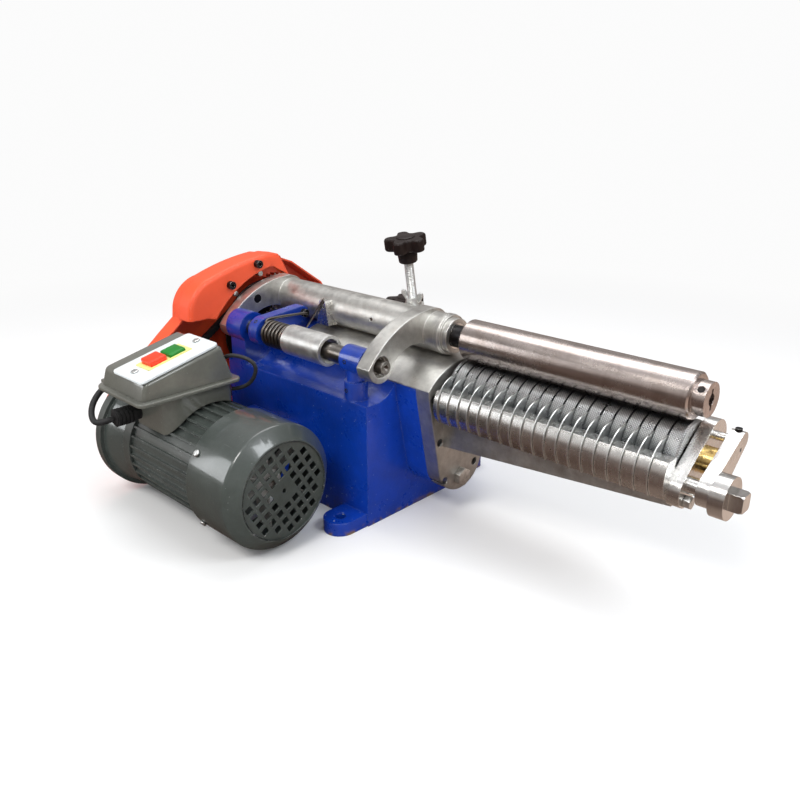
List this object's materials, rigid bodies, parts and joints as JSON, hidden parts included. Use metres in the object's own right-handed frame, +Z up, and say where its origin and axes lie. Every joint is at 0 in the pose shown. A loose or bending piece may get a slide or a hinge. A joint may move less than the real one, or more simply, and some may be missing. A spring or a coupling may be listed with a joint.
{
  "type": "twin roller coating head",
  "caption": "Bench-mounted powered coating head: smooth pressure roller on a sprung swing arm over a knurled roller with stripper fins, side motor with switch and belt guard.",
  "frame": {"origin": "on the floor at the centre of the four foot bolt holes", "axes": "+X along the rollers towards their free end, -Y towards the motor side, +Z up"},
  "size_m": [0.6175, 0.3806, 0.2804],
  "materials": {
    "blue_paint": "gloss",
    "orange_paint": "satin",
    "motor_paint": "satin",
    "cast_aluminium": "as cast, lightly machined",
    "machined_aluminium": "machined",
    "polished_roller": "polished",
    "knurled_roller": "knurled",
    "steel": "ground",
    "zinc": "zinc plated",
    "spring_steel": "oiled",
    "black_oxide": "blackened",
    "pulley_iron": "machined",
    "brass": "turned",
    "bakelite": "gloss",
    "box_paint": "satin",
    "cover_plate": "satin",
    "bezel_yellow": "gloss",
    "button_red": "gloss",
    "button_green": "gloss",
    "belt_rubber": "matte",
    "cable_rubber": "matte",
    "fan_plastic": "matte"
  },
  "bodies": {
    "bed": {"bed_casting": "blue_paint", "spindle_housing": "cast_aluminium", "flange_bolt": "zinc", "spindle_bearings": "steel", "v_belt": "belt_rubber", "stripper_fins": "steel", "guide_bar": "machined_aluminium", "support_beam": "cast_aluminium", "outboard_plate": "machined_aluminium", "brass_bush": "brass", "tie_pin": "steel", "outboard_link": "machined_aluminium", "outboard_screws": "black_oxide", "spindle_spacer": "steel", "plate_nut": "zinc", "hinge_shaft": "steel", "spring_sleeve": "steel", "torsion_spring": "spring_steel", "rear_stud": "zinc", "motor_stator": "motor_paint", "motor_end_bell": "motor_paint", "fan_cowl": "motor_paint", "cowl_screws": "zinc", "motor_bracket": "blue_paint", "switch_base": "box_paint", "switch_housing": "box_paint", "switch_cover": "cover_plate", "switch_bezel": "bezel_yellow", "cover_screws": "zinc", "cable_gland": "cable_rubber", "power_cable": "cable_rubber", "lower_guard": "orange_paint", "upper_guard": "orange_paint", "guard_screws": "black_oxide", "guard_standoffs": "zinc"},
    "lower_roller": {"lower_roller": "knurled_roller", "drive_spindle": "steel", "main_pulley": "pulley_iron", "drive_gear": "steel"},
    "upper_roller": {"upper_roller": "polished_roller", "roller_boss_screw": "black_oxide", "upper_shaft": "black_oxide", "driven_gear": "steel"},
    "motor_rotor": {"motor_shaft": "steel", "motor_fan": "fan_plastic", "motor_pulley": "pulley_iron"},
    "arm": {"arm_casting": "cast_aluminium", "arm_plug": "black_oxide", "upper_bushes": "steel", "prop_bracket": "machined_aluminium", "prop_rod": "spring_steel", "spring_lever": "blue_paint", "lever_screw": "black_oxide"},
    "gap_adjuster": {"adjuster_rod": "zinc"},
    "gap_knob": {"adjuster_knob": "bakelite"},
    "wing_nut": {"wing_nut": "zinc"},
    "rear_knob": {"rear_knob": "bakelite"},
    "start_button": {"start_button": "button_green"},
    "stop_button": {"stop_button": "button_red"},
    "outboard_adjuster": {"adjusting_spindle": "steel"}
  },
  "joints": [
    {"name": "lower_roller_spin", "type": "hinge", "parent": "bed", "child": "lower_roller", "pos_m": [0, 0.0075, 0.1395], "axis": [1, 0, 0], "continuous": true},
    {"name": "arm_lift", "type": "hinge", "parent": "bed", "child": "arm", "pos_m": [0, -0.0705, 0.17], "axis": [1, 0, 0], "range_deg": [0, 6], "stiffness_Nm_per_rad": 6, "springref_deg": -20.05},
    {"name": "upper_roller_spin", "type": "hinge", "parent": "arm", "child": "upper_roller", "pos_m": [0, 0.0075, 0.1895], "axis": [1, 0, 0], "continuous": true},
    {"name": "motor_spin", "type": "hinge", "parent": "bed", "child": "motor_rotor", "pos_m": [0, -0.1725, 0.0682], "axis": [1, 0, 0], "continuous": true},
    {"name": "gap_screw_travel", "type": "slide", "parent": "arm", "child": "gap_adjuster", "axis": [0, -0.1736, 0.9848], "range_m": [0, 0.006]},
    {"name": "gap_knob_turn", "type": "hinge", "parent": "gap_adjuster", "child": "gap_knob", "pos_m": [0.0725, 0.0331, 0.1678], "axis": [0, -0.1736, 0.9848], "range_deg": [0, 1440.1]},
    {"name": "wing_nut_turn", "type": "hinge", "parent": "arm", "child": "wing_nut", "pos_m": [0.0725, 0.0331, 0.1678], "axis": [0, -0.1736, 0.9848], "range_deg": [0, 90]},
    {"name": "rear_knob_turn", "type": "hinge", "parent": "bed", "child": "rear_knob", "pos_m": [0.022, 0.068, 0.17], "axis": [0, 0, 1], "range_deg": [0, 180]},
    {"name": "start_press", "type": "slide", "parent": "bed", "child": "start_button", "axis": [0, 0.2206, -0.9754], "range_m": [0, 0.003], "stiffness_N_per_m": 400},
    {"name": "stop_press", "type": "slide", "parent": "bed", "child": "stop_button", "axis": [0, 0.2206, -0.9754], "range_m": [0, 0.003], "stiffness_N_per_m": 400},
    {"name": "outboard_adjust", "type": "hinge", "parent": "bed", "child": "outboard_adjuster", "pos_m": [0.4, -0.0205, 0.1275], "axis": [1, 0, 0], "range_deg": [-45, 45]}
  ],
  "couplings": [
    {"joint": "upper_roller_spin", "follows": "lower_roller_spin", "ratio": -1.5},
    {"joint": "motor_spin", "follows": "lower_roller_spin", "ratio": 3.42},
    {"joint": "gap_knob_turn", "follows": "gap_screw_travel", "rad_per_m": 4188.8}
  ]
}
